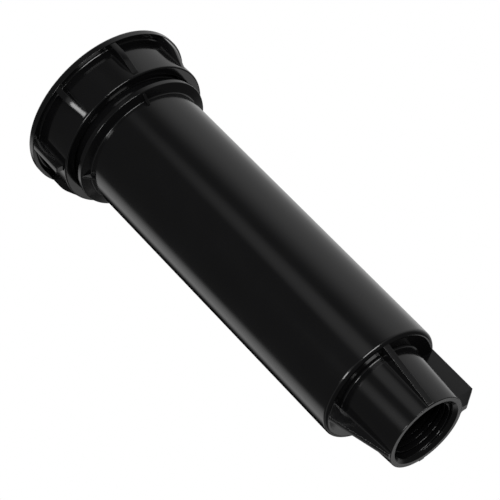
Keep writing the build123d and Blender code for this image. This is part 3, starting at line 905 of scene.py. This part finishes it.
upright_line = put(
    weave_tree, "GeometryNodeMeshLine", Count=weave_in["Rows"],
    Offset=z_only(weave_in["Pitch"]),
).outputs["Mesh"]
upright_place = put(
    weave_tree, "ShaderNodeCombineXYZ", X=calc(weave_tree, "ADD", weave_in["Radius"], weave_sway),
    Z=weave_in["Foot"],
).outputs[0]
upright_bent = put(
    weave_tree, "GeometryNodeSetPosition", Geometry=upright_line, Offset=upright_place,
).outputs["Geometry"]
uprights = spread(
    weave_in["Columns"], wire_of(upright_bent),
    z_only(calc(weave_tree, "MULTIPLY", weave_odd, weave_in["Pitch"])),
    z_only(calc(weave_tree, "MULTIPLY", weave_index, column_step)),
)
hoop_circle = put(
    weave_tree, "GeometryNodeMeshCircle", Vertices=weave_in["Columns"],
    Radius=weave_in["Radius"],
).outputs["Mesh"]
hoop_spot = put(weave_tree, "GeometryNodeInputPosition").outputs[0]
hoop_scale = calc(
    weave_tree, "MULTIPLY", calc(weave_tree, "DIVIDE", weave_sway, weave_in["Radius"]), -1.0,
)
hoop_bent = put(
    weave_tree, "GeometryNodeSetPosition", Geometry=hoop_circle,
    Offset=put(
        weave_tree, "ShaderNodeVectorMath", {"operation": "SCALE"}, _0=hoop_spot, Scale=hoop_scale,
    ).outputs[0],
).outputs["Geometry"]
hoops = spread(
    weave_in["Rows"], wire_of(hoop_bent),
    z_only(calc(
        weave_tree, "ADD", weave_in["Foot"],
        calc(weave_tree, "MULTIPLY", weave_index, weave_in["Pitch"]),
    )),
    z_only(calc(weave_tree, "MULTIPLY", weave_odd, column_step)),
)
woven = put(weave_tree, "GeometryNodeJoinGeometry")
weave_tree.links.new(uprights, woven.inputs[0])
weave_tree.links.new(hoops, woven.inputs[0])
finish_tree(weave_tree, weave_out, woven.outputs[0], weave_in["Material"])
screen_low, screen_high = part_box("filter_mesh")
screen_rows, screen_columns = 40, 44
screen_r, screen_wire_r = 4.64, 0.07
screen_pitch = (screen_high.z - screen_low.z - 0.2 * mm) / screen_rows
screen_piece = grown("screen", weave_tree, {
    "Radius": screen_r * mm, "Foot": screen_low.z + 0.1 * mm, "Pitch": screen_pitch,
    "Rows": screen_rows, "Columns": screen_columns, "Wire radius": screen_wire_r * mm,
    "Material": screen_steel,
})
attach(screen_piece, "riser")
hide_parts("filter_mesh")


# Nozzle base: a black moulding that screws on the riser's spigot. Three slots in its web
# let the water up inside the arc collar.
nozzle_plastic = moulded_plastic("nozzle_plastic", (0.012, 0.012, 0.013), 0.28)
paint_cad("nozzle_base", nozzle_plastic)


# Arc collar: a dark grey ring that is turned by hand on the nozzle's stub, with a knurl
# all round for grip.
collar_plastic = moulded_plastic("collar_plastic", (0.030, 0.030, 0.033), 0.42, peel=0.3)
collar_low, collar_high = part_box("arc_collar")
collar_out_r, stub_r = collar_high.x / mm, 6.2
collar_foot, collar_rim = collar_low.z / mm, collar_high.z / mm
collar_ring = lathe("collar_ring", [
    (stub_r + 0.1, collar_foot, 0.1),
    (collar_out_r - 0.2, collar_foot, 0.25),
    (collar_out_r - 0.2, collar_rim, 0.45),
    (stub_r + 0.6, collar_rim - 0.4, 0.2),
    (stub_r + 0.1, collar_rim - 0.9, 0.1),
], steps=120)
knurl_count, tooth_thick = 48, 0.42
knurl_tooth = upright_rib("knurl_tooth", tooth_thick, [
    (z, collar_out_r - 0.2, tip)
    for z, tip in (
        (collar_foot + 0.2, collar_out_r - 0.15), (collar_foot + 0.35, collar_out_r),
        (collar_rim - 0.65, collar_out_r), (collar_rim - 0.45, collar_out_r - 0.15),
    )
], root_fillet=0.02, edge_round=0.08)
knurl = grown("knurl", ring_tree, {
    "Count": knurl_count, "First turn": 0.0, "Step turn": 2 * math.pi / knurl_count,
    "Material": collar_plastic,
}, source=knurl_tooth)
collar_piece = fused("collar", collar_ring, knurl)
collar_piece.data.materials.append(collar_plastic)
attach(collar_piece, "arc_collar")
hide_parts("arc_collar")


# Deflector: a black plate flared from a hub that is pressed on the base, with fine ribs
# under the flare that split the water into streams.
deflector_low, deflector_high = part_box("nozzle_deflector")
plate_r, plate_top, hub_foot = deflector_high.x / mm, deflector_high.z / mm, deflector_low.z / mm
hub_r, hub_top, well_r, bore_r = 3.6, 153.8, 2.3, 1.35
deflector_plate = lathe("deflector_plate", [
    (bore_r, hub_foot),
    (hub_r, hub_foot),
    (hub_r, hub_top, 0.6),
    (plate_r, plate_top - 1.1, 0.1),
    (plate_r, plate_top, 0.4),
    (well_r + 1.6, plate_top, 0.2),
    (well_r + 1.4, plate_top - 0.15, 0.1),
    (well_r + 0.4, plate_top - 0.15, 0.1),
    (well_r + 0.2, plate_top, 0.1),
    (well_r, plate_top, 0.1),
    (well_r, plate_top - 0.9),
    (bore_r, plate_top - 0.9),
], steps=120)
vane_inner_r, vane_outer_r = hub_r + 0.5, plate_r - 0.15
vane_inner_z, vane_outer_z = hub_top + 0.2, plate_top - 1.05
vane_root, vane_tip, vane_drop, hub_widening = 0.16, 0.10, 0.28, 1.6
vane = piece_from("vane", [
    (vane_inner_r, vane_root * hub_widening, vane_inner_z + 0.1),
    (vane_inner_r, vane_tip * hub_widening, vane_inner_z - vane_drop),
    (vane_inner_r, -vane_tip * hub_widening, vane_inner_z - vane_drop),
    (vane_inner_r, -vane_root * hub_widening, vane_inner_z + 0.1),
    (vane_outer_r, vane_root, vane_outer_z + 0.1),
    (vane_outer_r, vane_tip, vane_outer_z - vane_drop),
    (vane_outer_r, -vane_tip, vane_outer_z - vane_drop),
    (vane_outer_r, -vane_root, vane_outer_z + 0.1),
], [(0, 1, 2, 3), (7, 6, 5, 4), (0, 4, 5, 1), (1, 5, 6, 2), (2, 6, 7, 3), (3, 7, 4, 0)])
vane_count = 24
vanes = grown("vanes", ring_tree, {
    "Count": vane_count, "First turn": 0.0, "Step turn": 2 * math.pi / vane_count,
    "Material": nozzle_plastic,
}, source=vane)
deflector_piece = fused("deflector", deflector_plate, vanes)
deflector_piece.data.materials.append(nozzle_plastic)
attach(deflector_piece, "riser")
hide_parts("nozzle_deflector")


# Radius screw: turned stainless steel with a slot for a small screwdriver. Its flared
# foot throttles the water inside the nozzle.
screw_steel = drawn_steel("screw_steel", (0.64, 0.63, 0.61), 0.20, (0.2, 1.0, 1.0))
paint_cad("radius_screw", screw_steel)
